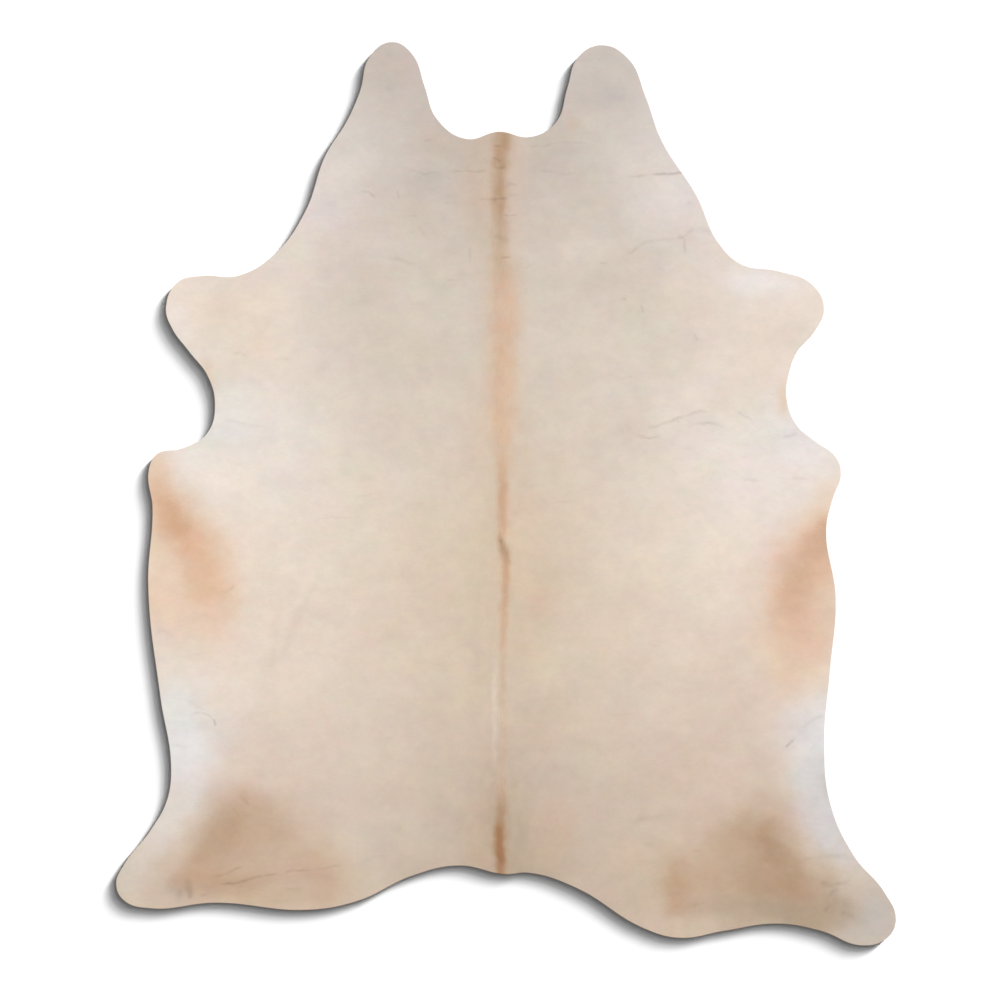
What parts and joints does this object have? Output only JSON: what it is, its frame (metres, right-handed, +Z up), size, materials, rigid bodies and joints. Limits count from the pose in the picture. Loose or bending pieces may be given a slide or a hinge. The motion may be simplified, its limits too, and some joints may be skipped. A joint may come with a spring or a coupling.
{
  "type": "cowhide rug",
  "caption": "Flat hair-on cowhide in its natural spread outline, laid hair side up on a floor as a rug.",
  "frame": {"origin": "on the floor, under the middle of the hide's bounding box", "axes": "+Y along the spine from the tail to the neck, +X to the right seen from the hair side with the neck up, +Z up out of the hair side"},
  "size_m": [1.973, 2.287, 0.008],
  "materials": {
    "hair_on_hide": "short cream hair lying flat, fading to tan and brown patches on the flanks, hind legs and spine"
  },
  "bodies": {
    "root": {"hide": "hair_on_hide"}
  },
  "joints": []
}
